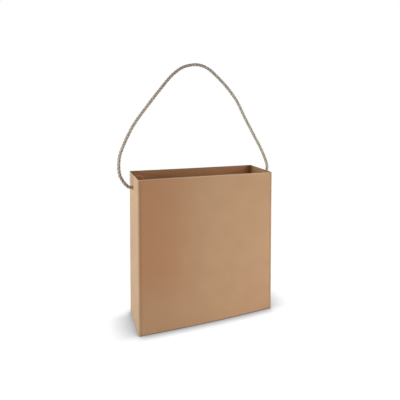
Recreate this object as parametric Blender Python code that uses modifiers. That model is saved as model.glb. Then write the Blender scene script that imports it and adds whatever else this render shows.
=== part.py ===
"""Cardboard gift bag: a corrugated blank folded square, with a rope handle knotted through its side panels.

The bag stands on z = 0 with the origin under the middle of its base. The front panel faces -Y.
All lengths are in metres.
"""
import math

import bmesh
import bpy
from mathutils import Matrix, Vector

# The bag and its board
BAG_WIDTH = 0.340
BAG_DEPTH = 0.110
BAG_HEIGHT = 0.350
BOARD_THICKNESS = 0.0016
CREASE_RADIUS = 0.0022
FIT_GAP = 0.0003
CUT_OVERRUN = 0.004
CREASE_STEPS = 4
WELD_DISTANCE = FIT_GAP / 100
FOLD_TOLERANCE = FIT_GAP / 10
SLIVER_AREA = FIT_GAP ** 2 / 1000
CAP_NORMAL_SHARE = 0.5

# The board's inside: a fluted sheet between two liners, its flutes upright in the walls
LINER_THICKNESS = 0.00025
FLUTE_SHEET_THICKNESS = 0.0002
FLUTE_PITCH = 0.0033
FLUTE_BOND_WIDTH = 0.0008

# The rope's holes
HOLE_DIAMETER = 0.010
HOLE_BELOW_RIM = 0.029
HOLE_FROM_FRONT = 0.073
HOLE_SIDES = 24

# The base: a tongue on the front flap locks into a recess in the back flap
FLAP_RELIEF = 0.0015
TONGUE_WIDTH = 0.150
TONGUE_REACH = 0.020
TONGUE_TAPER = 0.010
TONGUE_ANGLE = math.radians(45)
SHOULDER_SETBACK = 0.002
SHOULDER_TAPER = 0.014
SHOULDER_DROP = 0.012
RECESS_CLEARANCE = 0.004
EAR_REACH = 0.016
EAR_TAPER = 0.014
EAR_SLOPE = 0.008
SIDE_FLAP_REACH = 0.072
SIDE_FLAP_TAPER = 0.024
SIDE_FLAP_CORNER = 0.018
SIDE_FLAP_NOTCH_Y = 0.008

# The glued seam
SEAM_WIDTH = 0.035
SEAM_TAPER = 0.010
SEAM_TOP_SETBACK = 0.002
SEAM_ABOVE_BASE = 0.002

# The rope and its stopper knots
ROPE_DIAMETER = 0.008
ROPE_POINT_SPACING = 0.010
ROPE_BEVEL_RESOLUTION = 3
ROUTE_STEPS = 12
KNOT_DIAMETER = 0.025
KNOT_TURNS = 3
KNOT_TURN_OVERLAP_SHARE = 0.15
KNOT_TAIL_LENGTH = 0.018
KNOT_SIDES = 20
KNOT_TURN_STEPS = 5

# The rope's route over the bag, in the plane of the two holes, from the left hole to the right one
ROPE_ROUTE = [
    (-0.1684, 0.3210),
    (-0.1744, 0.3210),
    (-0.1812, 0.3248),
    (-0.1880, 0.3322),
    (-0.1940, 0.3410),
    (-0.1985, 0.3510),
    (-0.2008, 0.3640),
    (-0.2010, 0.3780),
    (-0.1992, 0.3950),
    (-0.1935, 0.4130),
    (-0.1830, 0.4370),
    (-0.1680, 0.4660),
    (-0.1510, 0.4910),
    (-0.1260, 0.5240),
    (-0.1000, 0.5570),
    (-0.0740, 0.5880),
    (-0.0480, 0.6095),
    (-0.0240, 0.6185),
    (0.0000, 0.6205),
    (0.0240, 0.6130),
    (0.0440, 0.5985),
    (0.0700, 0.5750),
    (0.0930, 0.5500),
    (0.1110, 0.5250),
    (0.1270, 0.4950),
    (0.1450, 0.4640),
    (0.1640, 0.4320),
    (0.1790, 0.4070),
    (0.1910, 0.3830),
    (0.1985, 0.3640),
    (0.2005, 0.3500),
    (0.1970, 0.3385),
    (0.1900, 0.3292),
    (0.1820, 0.3236),
    (0.1744, 0.3210),
    (0.1684, 0.3210),
]

# Places that follow from the sizes
HALF_WIDTH = BAG_WIDTH / 2
HALF_DEPTH = BAG_DEPTH / 2
INNER_HALF_WIDTH = HALF_WIDTH - BOARD_THICKNESS - FIT_GAP
INNER_HALF_DEPTH = HALF_DEPTH - BOARD_THICKNESS - FIT_GAP
HOLE_HEIGHT = BAG_HEIGHT - HOLE_BELOW_RIM
HOLE_Y = HOLE_FROM_FRONT - HALF_DEPTH
LAYER_PITCH = BOARD_THICKNESS + FIT_GAP
FRONT_LAYER, SIDE_LAYER, BACK_LAYER, TONGUE_LAYER = (
    BOARD_THICKNESS / 2 + LAYER_PITCH * layer for layer in range(4)
)
BASE_TOP = TONGUE_LAYER + BOARD_THICKNESS / 2
TONGUE_RISE = TONGUE_LAYER - FRONT_LAYER
TONGUE_RAMP = TONGUE_RISE / math.sin(TONGUE_ANGLE)
TONGUE_RUN = TONGUE_RISE / math.tan(TONGUE_ANGLE)
RECESS_EDGE = TONGUE_RUN - SHOULDER_SETBACK + FIT_GAP + BOARD_THICKNESS / 2 * math.tan(TONGUE_ANGLE / 2)


def clear_scene():
    """Start from nothing."""
    for item in list(bpy.data.objects):
        bpy.data.objects.remove(item, do_unlink=True)


def make_collection(name):
    """A collection in the scene for the parts or for the cutters."""
    collection = bpy.data.collections.new(name)
    bpy.context.scene.collection.children.link(collection)
    return collection


def make_material(name, colour, roughness):
    """A plain surface of one colour."""
    material = bpy.data.materials.new(name)
    material.use_nodes = True
    surface = material.node_tree.nodes["Principled BSDF"]
    surface.inputs["Base Color"].default_value = (*colour, 1)
    surface.inputs["Roughness"].default_value = roughness
    surface.inputs["Metallic"].default_value = 0
    return material


def board_material(name):
    """Brown kraft liner."""
    return make_material(name, (0.46, 0.30, 0.18), 0.9)


def rope_material(name):
    """Undyed plant fibre."""
    return make_material(name, (0.33, 0.27, 0.19), 0.95)


def add_object(name, data, collection, material=None):
    """Link an object to its collection and give it its material."""
    item = bpy.data.objects.new(name, data)
    collection.objects.link(item)
    if material:
        data.materials.append(material)
    return item


def outline_curve(name, points, thickness, voids=()):
    """A flat closed outline, less its voids, filled and given half its thickness to each side."""
    curve = bpy.data.curves.new(name, "CURVE")
    curve.dimensions = "2D"
    curve.fill_mode = "BOTH"
    curve.extrude = thickness / 2
    for loop in (points, *voids):
        spline = curve.splines.new("POLY")
        spline.points.add(len(loop) - 1)
        for point, (x, y) in zip(spline.points, loop):
            point.co = (x, y, 0, 1)
        spline.use_cyclic_u = True
    return curve


def mesh_of_curve(curve, collection):
    """The mesh of a filled curve, with its caps welded on."""
    carrier = add_object("carrier", curve, collection)
    bpy.context.view_layer.update()
    mesh = bpy.data.meshes.new_from_object(carrier.evaluated_get(bpy.context.evaluated_depsgraph_get()))
    bpy.data.objects.remove(carrier)
    shape = bmesh.new()
    shape.from_mesh(mesh)
    bmesh.ops.remove_doubles(shape, verts=shape.verts, dist=WELD_DISTANCE)
    caps = [
        face for face in shape.faces
        if abs(face.normal.z) > CAP_NORMAL_SHARE or face.calc_area() < SLIVER_AREA
    ]
    inner_edges = [edge for edge in shape.edges if all(face in caps for face in edge.link_faces)]
    bmesh.ops.beautify_fill(shape, faces=caps, edges=inner_edges, method="ANGLE")
    shape.to_mesh(mesh)
    shape.free()
    return mesh


def arc(centre, radius, start, end, steps):
    """Points along an arc, with both of its ends."""
    points = []
    for step in range(steps + 1):
        angle = start + (end - start) * step / steps
        points.append((centre[0] + radius * math.cos(angle), centre[1] + radius * math.sin(angle)))
    return points


def mirrored(points):
    """A right half's points, then the same points mirrored to the left half in reverse order."""
    return points + [(-x, y) for x, y in reversed(points)]


def panel_plan(length):
    """A wall panel seen from above: its outer face on y = 0, each end half of a rolled corner crease."""
    inner_radius = CREASE_RADIUS - BOARD_THICKNESS
    centre = (length / 2 - CREASE_RADIUS, CREASE_RADIUS)
    outer_end = math.radians(-45) - math.asin(FIT_GAP / 2 / CREASE_RADIUS)
    inner_end = math.radians(-45) - math.asin(FIT_GAP / 2 / inner_radius)
    outer = arc(centre, CREASE_RADIUS, math.radians(-90), outer_end, CREASE_STEPS)
    inner = arc(centre, inner_radius, inner_end, math.radians(-90), CREASE_STEPS)
    return mirrored(outer + inner)


def flute_voids(length):
    """The air channels in a wall panel seen from above, one over and one under each wave of the fluted sheet."""
    straight = length - 2 * CREASE_RADIUS - FLUTE_PITCH
    waves = math.floor(straight / FLUTE_PITCH)
    depth = BOARD_THICKNESS - 2 * LINER_THICKNESS - FLUTE_SHEET_THICKNESS
    wide = (FLUTE_PITCH - FLUTE_BOND_WIDTH) / 2
    narrow = FLUTE_BOND_WIDTH / 2
    voids = []
    for half_wave in range(2 * waves):
        middle = (half_wave - waves + 0.5) * FLUTE_PITCH / 2
        if half_wave % 2:
            liner, crest = LINER_THICKNESS, LINER_THICKNESS + depth
        else:
            liner, crest = BOARD_THICKNESS - LINER_THICKNESS, BOARD_THICKNESS - LINER_THICKNESS - depth
        voids.append([
            (middle - wide, liner),
            (middle + wide, liner),
            (middle + narrow, crest),
            (middle - narrow, crest),
        ])
    return voids


def add_panel(name, length, place, turn, collection):
    """One upright wall of the bag, from the base to the rim, with its flutes open at both ends."""
    curve = outline_curve(name, panel_plan(length), BAG_HEIGHT, flute_voids(length))
    mesh = mesh_of_curve(curve, collection)
    mesh.name = name
    panel = add_object(name, mesh, collection, board_material(name))
    panel.location = (*place, BAG_HEIGHT / 2)
    panel.rotation_euler = (0, 0, turn)
    return panel


def punch_hole(panel, x, cutters):
    """Cut the rope's hole through a side panel."""
    cutter_mesh = bpy.data.meshes.new(panel.name + "_hole")
    shape = bmesh.new()
    bmesh.ops.create_cone(
        shape,
        cap_ends=True,
        segments=HOLE_SIDES,
        radius1=HOLE_DIAMETER / 2,
        radius2=HOLE_DIAMETER / 2,
        depth=BOARD_THICKNESS + 2 * CUT_OVERRUN,
        matrix=Matrix.Rotation(math.radians(90), 4, "Y"),
    )
    shape.to_mesh(cutter_mesh)
    shape.free()
    cutter = add_object(panel.name + "_hole", cutter_mesh, cutters)
    cutter.location = (x, HOLE_Y, HOLE_HEIGHT)
    cutter.hide_render = True
    cutter.display_type = "WIRE"
    cut = panel.modifiers.new("rope hole", "BOOLEAN")
    cut.operation = "DIFFERENCE"
    cut.object = cutter


def add_walls(collection, cutters):
    """Four panels round the bag, with the rope's holes in the two sides."""
    add_panel("front_panel", BAG_WIDTH, (0, -HALF_DEPTH), 0, collection)
    add_panel("back_panel", BAG_WIDTH, (0, HALF_DEPTH), math.radians(180), collection)
    for name, side in (("left_side_panel", -1), ("right_side_panel", 1)):
        panel = add_panel(name, BAG_DEPTH, (side * HALF_WIDTH, 0), side * math.radians(90), collection)
        punch_hole(panel, side * HALF_WIDTH, cutters)


def add_seam(collection):
    """The glue flap: it turns in from the left side panel and lies on the back panel's inner face."""
    low = BASE_TOP + SEAM_ABOVE_BASE
    high = BAG_HEIGHT - SEAM_TOP_SETBACK
    outline = [
        (0, low),
        (SEAM_WIDTH, low + SEAM_TAPER),
        (SEAM_WIDTH, high - SEAM_TAPER),
        (0, high),
    ]
    curve = outline_curve("glue_flap", outline, BOARD_THICKNESS)
    flap = add_object("glue_flap", curve, collection, board_material("glue_flap"))
    flap.location = (-INNER_HALF_WIDTH, INNER_HALF_DEPTH - BOARD_THICKNESS / 2, 0)
    flap.rotation_euler = (math.radians(90), 0, 0)


def back_flap_outline():
    """The innermost base flap: two ears with a recess between them for the tongue."""
    crease_x = INNER_HALF_WIDTH - FLAP_RELIEF
    recess_x = TONGUE_WIDTH / 2 + RECESS_CLEARANCE
    return mirrored([
        (recess_x, RECESS_EDGE),
        (recess_x + EAR_SLOPE, -EAR_REACH),
        (crease_x - EAR_TAPER, -EAR_REACH),
        (crease_x, INNER_HALF_DEPTH - CREASE_RADIUS),
        (crease_x, INNER_HALF_DEPTH),
    ])


def front_flap_outline():
    """The outermost base flap, laid out flat: its shoulders and the tongue before folding."""
    crease_x = INNER_HALF_WIDTH - FLAP_RELIEF
    tongue_x = TONGUE_WIDTH / 2
    return mirrored([
        (crease_x, -INNER_HALF_DEPTH),
        (crease_x, -INNER_HALF_DEPTH + CREASE_RADIUS),
        (crease_x - SHOULDER_TAPER, -SHOULDER_SETBACK - SHOULDER_DROP),
        (tongue_x + RECESS_CLEARANCE, -SHOULDER_SETBACK),
        (tongue_x, -SHOULDER_SETBACK),
        (tongue_x, TONGUE_RAMP - SHOULDER_SETBACK),
        (tongue_x - TONGUE_TAPER, TONGUE_RAMP + TONGUE_REACH),
    ])


def side_flap_outline():
    """A base flap of the right side panel, folded between the front and back ones."""
    edge_y = INNER_HALF_DEPTH - FLAP_RELIEF
    tip_x = INNER_HALF_WIDTH - SIDE_FLAP_REACH
    return [
        (INNER_HALF_WIDTH, -edge_y),
        (INNER_HALF_WIDTH, edge_y),
        (INNER_HALF_WIDTH - CREASE_RADIUS, edge_y),
        (tip_x + SIDE_FLAP_TAPER, edge_y - SIDE_FLAP_CORNER),
        (tip_x, SIDE_FLAP_NOTCH_Y),
        (tip_x, -edge_y + SIDE_FLAP_CORNER),
        (tip_x + SIDE_FLAP_CORNER, -edge_y),
    ]


def fold(shape, crease_y, angle):
    """Fold everything beyond a crease that runs along X."""
    everything = shape.verts[:] + shape.edges[:] + shape.faces[:]
    bmesh.ops.bisect_plane(shape, geom=everything, plane_co=(0, crease_y, 0), plane_no=(0, 1, 0))
    beyond = [vert for vert in shape.verts if vert.co.y > crease_y + FOLD_TOLERANCE]
    bmesh.ops.rotate(
        shape,
        verts=beyond,
        cent=(0, crease_y, 0),
        matrix=Matrix.Rotation(angle, 3, "X"),
    )


def add_front_flap(collection):
    """The outermost base flap, whose tongue rises through the recess and lies on the back flap."""
    curve = outline_curve("base_flap_front", front_flap_outline(), 0)
    mesh = mesh_of_curve(curve, collection)
    mesh.name = "base_flap_front"
    shape = bmesh.new()
    shape.from_mesh(mesh)
    fold(shape, TONGUE_RAMP - SHOULDER_SETBACK, -TONGUE_ANGLE)
    fold(shape, -SHOULDER_SETBACK, TONGUE_ANGLE)
    shape.to_mesh(mesh)
    shape.free()
    flap = add_object("base_flap_front", mesh, collection, board_material("base_flap_front"))
    flap.location = (0, 0, FRONT_LAYER)
    board = flap.modifiers.new("board", "SOLIDIFY")
    board.thickness = BOARD_THICKNESS
    board.offset = 0
    board.use_even_offset = True


def add_base(collection):
    """Four flaps that lock into the bag's base: back first, then the sides, then the front."""
    curve = outline_curve("base_flap_back", back_flap_outline(), BOARD_THICKNESS)
    back = add_object("base_flap_back", curve, collection, board_material("base_flap_back"))
    back.location = (0, 0, BACK_LAYER)
    right = side_flap_outline()
    left = [(-x, y) for x, y in reversed(right)]
    for name, outline in (("base_flap_left", left), ("base_flap_right", right)):
        curve = outline_curve(name, outline, BOARD_THICKNESS)
        flap = add_object(name, curve, collection, board_material(name))
        flap.location = (0, 0, SIDE_LAYER)
    add_front_flap(collection)


def smooth_route(route, spacing):
    """Evenly spaced points on a smooth curve through the route, between its two straight ends."""
    points = [Vector((x, 0, z)) for x, z in route]
    dense = [points[1]]
    for before, start, end, after in zip(points, points[1:], points[2:], points[3:]):
        for step in range(1, ROUTE_STEPS + 1):
            t = step / ROUTE_STEPS
            dense.append(
                0.5 * (2 * start + (end - before) * t
                       + (2 * before - 5 * start + 4 * end - after) * t ** 2
                       + (3 * start - before - 3 * end + after) * t ** 3)
            )
    lengths = [0]
    for start, end in zip(dense, dense[1:]):
        lengths.append(lengths[-1] + (end - start).length)
    count = round(lengths[-1] / spacing)
    even = [points[0]]
    index = 0
    for number in range(count + 1):
        target = lengths[-1] * number / count
        while index < len(dense) - 2 and lengths[index + 1] < target:
            index += 1
        share = (target - lengths[index]) / (lengths[index + 1] - lengths[index])
        even.append(dense[index].lerp(dense[index + 1], share))
    even.append(points[-1])
    return even


def add_rope(collection, pivot):
    """The handle: one rope from knot to knot, over the bag."""
    curve = bpy.data.curves.new("rope_handle", "CURVE")
    curve.dimensions = "3D"
    curve.bevel_depth = ROPE_DIAMETER / 2
    curve.bevel_resolution = ROPE_BEVEL_RESOLUTION
    curve.use_fill_caps = True
    points = smooth_route(ROPE_ROUTE, ROPE_POINT_SPACING)
    spline = curve.splines.new("POLY")
    spline.points.add(len(points) - 1)
    for point, place in zip(spline.points, points):
        point.co = (place.x, 0, place.z - HOLE_HEIGHT, 1)
    rope = add_object("rope_handle", curve, collection, rope_material("rope_handle"))
    rope.parent = pivot


def knot_profile():
    """Half of the knot's outline from its tail's end to the wall: rope turns side by side round the rope."""
    rope_radius = ROPE_DIAMETER / 2
    ring_radius = KNOT_DIAMETER / 2 - rope_radius
    pitch = ROPE_DIAMETER * (1 - KNOT_TURN_OVERLAP_SHARE)
    half_waist = math.acos(pitch / 2 / rope_radius)
    top = pitch * (KNOT_TURNS - 1) + ROPE_DIAMETER
    points = [(0, top + KNOT_TAIL_LENGTH), (rope_radius, top + KNOT_TAIL_LENGTH), (rope_radius, top)]
    for turn in reversed(range(KNOT_TURNS)):
        is_last, is_first = turn == KNOT_TURNS - 1, turn == 0
        start = math.radians(90) if is_last else math.radians(90) - half_waist
        end = math.radians(-90) if is_first else math.radians(-90) + half_waist
        centre = (ring_radius, rope_radius + pitch * turn)
        points += arc(centre, rope_radius, start, end, KNOT_TURN_STEPS)[0 if is_last else 1:]
    return points + [(0, 0)]


def add_knot(name, side, collection, pivot):
    """A stopper knot against the inner face of a side panel, turned about the hole's axis."""
    mesh = bpy.data.meshes.new(name)
    shape = bmesh.new()
    verts = [shape.verts.new((radius, 0, height)) for radius, height in knot_profile()]
    for start, end in zip(verts, verts[1:]):
        shape.edges.new((start, end))
    shape.to_mesh(mesh)
    shape.free()
    knot = add_object(name, mesh, collection, rope_material(name))
    turn = knot.modifiers.new("turned", "SCREW")
    turn.steps = KNOT_SIDES
    turn.render_steps = KNOT_SIDES
    turn.use_merge_vertices = True
    turn.merge_threshold = FOLD_TOLERANCE
    knot.parent = pivot
    knot.location = (side * INNER_HALF_WIDTH, 0, 0)
    knot.rotation_euler = (0, -side * math.radians(90), 0)


def add_handle(collection):
    """The rope and its knots swing together about the line through both holes."""
    pivot = add_object("handle_pivot", None, collection)
    pivot.location = (0, HOLE_Y, HOLE_HEIGHT)
    add_rope(collection, pivot)
    add_knot("left_knot", -1, collection, pivot)
    add_knot("right_knot", 1, collection, pivot)


def build():
    """Model the whole bag."""
    clear_scene()
    parts = make_collection("cardboard_gift_bag")
    cutters = make_collection("cutters")
    add_walls(parts, cutters)
    add_seam(parts)
    add_base(parts)
    add_handle(parts)
    bpy.context.view_layer.update()


build()
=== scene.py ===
import math
from functools import cached_property

import bmesh
import bpy
import numpy as np
from mathutils import Matrix, Vector, noise


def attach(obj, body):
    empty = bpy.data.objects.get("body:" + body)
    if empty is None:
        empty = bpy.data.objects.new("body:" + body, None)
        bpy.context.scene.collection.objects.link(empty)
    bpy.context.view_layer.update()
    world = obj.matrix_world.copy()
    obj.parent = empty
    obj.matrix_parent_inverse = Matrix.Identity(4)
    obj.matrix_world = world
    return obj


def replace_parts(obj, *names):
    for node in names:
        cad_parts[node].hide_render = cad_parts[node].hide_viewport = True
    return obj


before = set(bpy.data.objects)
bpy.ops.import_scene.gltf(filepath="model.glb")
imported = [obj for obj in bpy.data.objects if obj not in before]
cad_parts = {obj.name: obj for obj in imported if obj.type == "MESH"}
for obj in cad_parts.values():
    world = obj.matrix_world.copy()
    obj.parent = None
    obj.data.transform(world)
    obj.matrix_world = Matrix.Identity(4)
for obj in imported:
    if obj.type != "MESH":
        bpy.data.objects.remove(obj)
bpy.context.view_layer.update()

# The bag and its board, as the part's source has them
BAG_WIDTH = 0.340
BAG_DEPTH = 0.110
BAG_HEIGHT = 0.350
BOARD = 0.0016
LINER = 0.00025
FLUTE_SHEET = 0.0002
FLUTE_PITCH = 0.0033
CREASE_RADIUS = 0.0022
FIT_GAP = 0.0003
HOLE_RADIUS = 0.005
HOLE_HEIGHT = BAG_HEIGHT - 0.029
HOLE_Y = 0.073 - BAG_DEPTH / 2
SEAM_WIDTH = 0.035
SEAM_TAPER = 0.010
SEAM_TOP_SETBACK = 0.002

# The base flaps
FLAP_RELIEF = 0.0015
TONGUE_WIDTH = 0.150
TONGUE_REACH = 0.020
TONGUE_TAPER = 0.010
TONGUE_ANGLE = math.radians(45)
TONGUE_BEND = 0.0016
SHOULDER_SETBACK = 0.002
SHOULDER_TAPER = 0.014
SHOULDER_DROP = 0.012
RECESS_CLEARANCE = 0.004
EAR_REACH = 0.016
EAR_TAPER = 0.014
EAR_SLOPE = 0.008
SIDE_FLAP_REACH = 0.072
SIDE_FLAP_TAPER = 0.024
SIDE_FLAP_CORNER = 0.018
SIDE_FLAP_NOTCH = 0.008
CUT_EDGE_ROUNDING = 0.00018
FLAP_STEP = 0.012

# Flat coordinates of the flaps lie this far from the sleeve's, so that marks at its folds and holes miss them
FLAT_APART = 2

# How far the panels have bowed, and how uneven the board is
BASE_BULGE = 0.0045
BULGE_FADE = 1.3
RIM_DRAW_IN = 0.0022
SIDE_BOW = 0.0012
BOARD_WAVER = 0.0005
WAVES_PER_METRE = 11
WAVER_RISE = 12
BACK_RISE = 0.0055
RISE_START = 0.327
RISE_CURVE = 1.5

# The rope and its knots
ROPE_DIAMETER = 0.008
ROPE_LAY = 0.0245
STRAND_OFFSET = 0.243 * ROPE_DIAMETER
STRAND_RADIUS = 0.257 * ROPE_DIAMETER
STRAND_SIDES = 14
STRAND_SQUEEZE = 0.10
GROOVE_START = 0.75
GROOVE_SWING = 1.15
GROOVE_CURVE = 1.5
ROPE_STEP = 0.001
CURVE_STEPS = 12
TAIL_LENGTH = 0.012

# How the knot is drawn tight: its loose form, and how far each round pulls, smooths and parts the rope
KNOT_LEAD = 6 * ROPE_DIAMETER
KNOT_SPARE = 7.17 * ROPE_DIAMETER
KNOT_WALL = 1.7 * ROPE_DIAMETER
KNOT_ENDS = 2.15
KNOT_SAMPLES = 400
KNOT_PULLS = 260
KNOT_ROUNDS = 16
KNOT_PULL = 0.03
KNOT_SMOOTHING = 0.10
KNOT_STIFFNESS = 0.045
KNOT_SLACK = 0.4
KNOT_PARTING = 0.25
KNOT_CENTRING = 0.5
KNOT_NEAR = 1.5 * ROPE_DIAMETER
KNOT_BORE = ROPE_DIAMETER / 5
LEAD_REACH = 0.004

# Loose fibre ends on the rope
HAIRS_PER_STEP = 1.2
HAIR_STEPS = 5
HAIR_RADIUS = 0.00006
HAIR_LENGTHS = (0.002, 0.006)
HAIR_HEIGHTS = (0.0003, 0.0014)
HAIR_ROOT = 0.42
HAIR_LEAN = 0.8
HAIR_ARC = 0.7
HAIR_FLAT_LENGTH = 0.002

# The rope's way from hole to hole, as metres across and up
ROPE_ROUTE = [
    (-0.1684, 0.3210), (-0.1744, 0.3210), (-0.1812, 0.3248), (-0.1880, 0.3322),
    (-0.1940, 0.3410), (-0.1985, 0.3510), (-0.2008, 0.3640), (-0.2010, 0.3780),
    (-0.1992, 0.3950), (-0.1935, 0.4130), (-0.1830, 0.4370), (-0.1680, 0.4660),
    (-0.1510, 0.4910), (-0.1260, 0.5240), (-0.1000, 0.5570), (-0.0740, 0.5880),
    (-0.0480, 0.6095), (-0.0240, 0.6185), (0.0000, 0.6205), (0.0240, 0.6130),
    (0.0440, 0.5985), (0.0700, 0.5750), (0.0930, 0.5500), (0.1110, 0.5250),
    (0.1270, 0.4950), (0.1450, 0.4640), (0.1640, 0.4320), (0.1790, 0.4070),
    (0.1910, 0.3830), (0.1985, 0.3640), (0.2005, 0.3500), (0.1970, 0.3385),
    (0.1900, 0.3292), (0.1820, 0.3236), (0.1744, 0.3210), (0.1684, 0.3210),
]

# Places that follow from the sizes
HALF_BOARD = BOARD / 2
MID_HALF_WIDTH = BAG_WIDTH / 2 - HALF_BOARD
MID_HALF_DEPTH = BAG_DEPTH / 2 - HALF_BOARD
INNER_HALF_WIDTH = BAG_WIDTH / 2 - BOARD - FIT_GAP
INNER_HALF_DEPTH = BAG_DEPTH / 2 - BOARD - FIT_GAP
LAYER_PITCH = BOARD + FIT_GAP
FRONT_LAYER, SIDE_LAYER, BACK_LAYER, TONGUE_LAYER = (HALF_BOARD + LAYER_PITCH * layer for layer in range(4))
TONGUE_RISE = TONGUE_LAYER - FRONT_LAYER
TONGUE_RAMP = TONGUE_RISE / math.sin(TONGUE_ANGLE)
TONGUE_RUN = TONGUE_RISE / math.tan(TONGUE_ANGLE)
RECESS_EDGE = TONGUE_RUN - SHOULDER_SETBACK + FIT_GAP + HALF_BOARD * math.tan(TONGUE_ANGLE / 2)
SEAM_LOW = TONGUE_LAYER + HALF_BOARD + 0.002

# Colours, as linear red, green and blue
WHITE = (1.0, 1.0, 1.0)
CORE_KRAFT = {"light": (0.46, 0.30, 0.18), "dark": (0.37, 0.235, 0.138)}
CUT_KRAFT = {"light": (0.58, 0.41, 0.26), "dark": (0.46, 0.31, 0.19)}
CUT_HOLLOW_SHADE = (0.10, 0.058, 0.03)
WARM_KRAFT = (0.47, 0.214, 0.096)
FLUTE_LINE = (0.30, 0.17, 0.09)
SCORE_GROOVE_SHADE = (0.20, 0.10, 0.045)
CORNER_PAINTED_SHADE = (0.20, 0.07, 0.02)
HOLE_SHADE_BROWN = (0.085, 0.038, 0.012)
RIM_PALE = (0.76, 0.58, 0.41)
RIM_SHADE_GREY = (0.22, 0.175, 0.135)
FIBRE_DARK = (0.396, 0.312, 0.235)
FIBRE_LIGHT = (0.800, 0.672, 0.545)
GROOVE_SHADE_COLOUR = (0.125, 0.096, 0.068)
FIBRE_HANDLED = (0.17, 0.14, 0.105)
FLOOR_GREY = (0.86, 0.86, 0.86)
SHADOW = (0.0, 0.0, 0.005)

# The paper: where its tones fade in and out, in metres, and how strong they are
GRAIN_STRETCH = (260, 1500, 1)
GRAIN_SHARE = 0.7
FLECK_SHARE = 0.6
PAPER_ROUGHNESS = 0.85
PAPER_RELIEF = 0.00006
CORE_RELIEF = 0.00005
GLOSS_SMOOTHING = 0.45
WARM_SHARE = 0.7
WARM_FADE = (0.04, 0.175)
WARM_WAVER = 0.05
WARM_RISE = (0.03, 0.16)
FOOT_WARMTH = 0.30
SIDE_WARMTH = 0.16
FOLD_BLUR = 0.003
FLUTE_WAVER = 0.12
FLUTE_STRENGTH = 0.55
FLUTE_TINT = 0.10
SCUFF_AND_SHADE_EVEN = 0.55
SCUFF_AND_SHADE_WAVER = 1.6
SCUFF_AND_SHADE_RANGE = (0.15, 0.95)
SCUFF_AND_SHADE_SHARE = 0.4
DENT_DEPTH = 2.0
SCORE_GRAIN = 0.3
SCORE_OFFSET = 0.0036
SCORE_BLUR = (0.0006, 0.0028)
CORNER_FADE = (0.002, 0.024)
CORNER_WAVER = 0.01
HOLE_SHADE_SHARE = 0.88
HOLE_SHADE_ASIDE = 0.008
HOLE_SHADE_HEIGHT = HOLE_HEIGHT + 0.001
HOLE_SHADE_HALF_WIDTH = 0.0150
HOLE_SHADE_HALF_HEIGHT = 0.0068
HOLE_SHADE_FLECKS = 0.4
HOLE_SHADE_FADE = (0.35, 1.0)
RIM_SHARE = 0.45
RIM_BAND = (BAG_HEIGHT - 0.0024, BAG_HEIGHT - 0.0008)
CORE_RIM_BAND = (BAG_HEIGHT - 0.0006, BAG_HEIGHT - 0.0001)
RIM_SHADE_BACK = (0.035, 0.052)
RIM_SHADE_RIGHT = (0.165, 0.168)
RAW_ROUGHNESS = 0.92
RAW_PAPER = {"Sheen_Weight": 0.2, "Sheen_Roughness": 0.5, "Specular_IOR_Level": 0.2}

# A cut edge, in shares of the board's thickness
CUT_WAVE = 0.28
CUT_SHEET = (0.05, 0.12)
CUT_LINERS = (0.31, 0.37)
CUT_DEPTH = 4

# The rope's fibre
YARNS = 7
YARN_LEAN = 33
HAIR_STRETCH = (34, 150, 1)
FINE_HAIR_STRETCH = (95, 260, 1)
FIBRE_RELIEF = 0.00040
YARN_TONE = 0.14
FINE_TONE = 0.9
YARN_DEPTH = 0.35
HAIR_DEPTH = 0.9
GROOVE_SHADE_SHARE = 0.8
HANDLED_SHARE = 0.32
HANDLED_RISE = (0.52, 0.59)

# The studio
FLOOR_REACH = 6
FLOOR_DROP = 0.0003
FLOOR_GLOW = 1.085
FLOOR_WHITE_SHARE = 0.92
SHADE_SAMPLES = 16
SHADOW_REACH = 0.070
SHADOW_SHARE = 1.14
SHADOW_FRONT = (-0.078, -0.045)
SHADOW_BACK = (0.030, 0.075)
CONTACT_REACH = 0.027
CONTACT_SHARE = 1.325
CONTACT_FADE = 1.35
ROOM_LIGHT = 0.03

# Each lamp's place, target, size, power and colour
LAMPS = {
    "left_softbox": ((-1.4, 0.10, 0.42), (-0.17, 0, 0.17), (1.2, 0.5), 16.9, (0.87, 1.0, 1.08)),
    "right_softbox": ((0.72, -0.92, 0.40), (0.1, -0.05, 0.10), (0.6, 0.6), 5.45),
    "low_softbox": ((0.30, -0.60, 0.05), (0.10, -0.05, 0.04), (0.8, 0.09), 1.02),
    "top_softbox": ((0, -0.5, 1.9), (0, 0, 0), (1.6, 1.6), 9.3),
    "rear_softbox": ((0.25, 1.5, 0.45), (0, 0, 0.17), (1.2, 0.8), 10),
}


# Objects and camera

def add_object(name, data):
    """A new object in the scene."""
    thing = bpy.data.objects.new(name, data)
    bpy.context.scene.collection.objects.link(thing)
    return thing


def aim_camera():
    """The photograph's own view: a little downward, with the bag turned to show its left side."""
    lens = bpy.data.cameras.new("studio_camera")
    lens.sensor_width = 36
    lens.lens = 31.431
    lens.shift_y = -0.1655
    lens.clip_start = 0.02
    lens.clip_end = 30
    camera = add_object("studio_camera", lens)
    turn, dip = math.radians(20.760), math.radians(2.086)
    ahead = Vector((math.sin(turn) * math.cos(dip), math.cos(turn) * math.cos(dip), -math.sin(dip)))
    camera.location = (-0.3120, -0.8128, 0.4791)
    camera.rotation_euler = ahead.to_track_quat("-Z", "Y").to_euler()
    bpy.context.scene.camera = camera


# Shader maths

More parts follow.
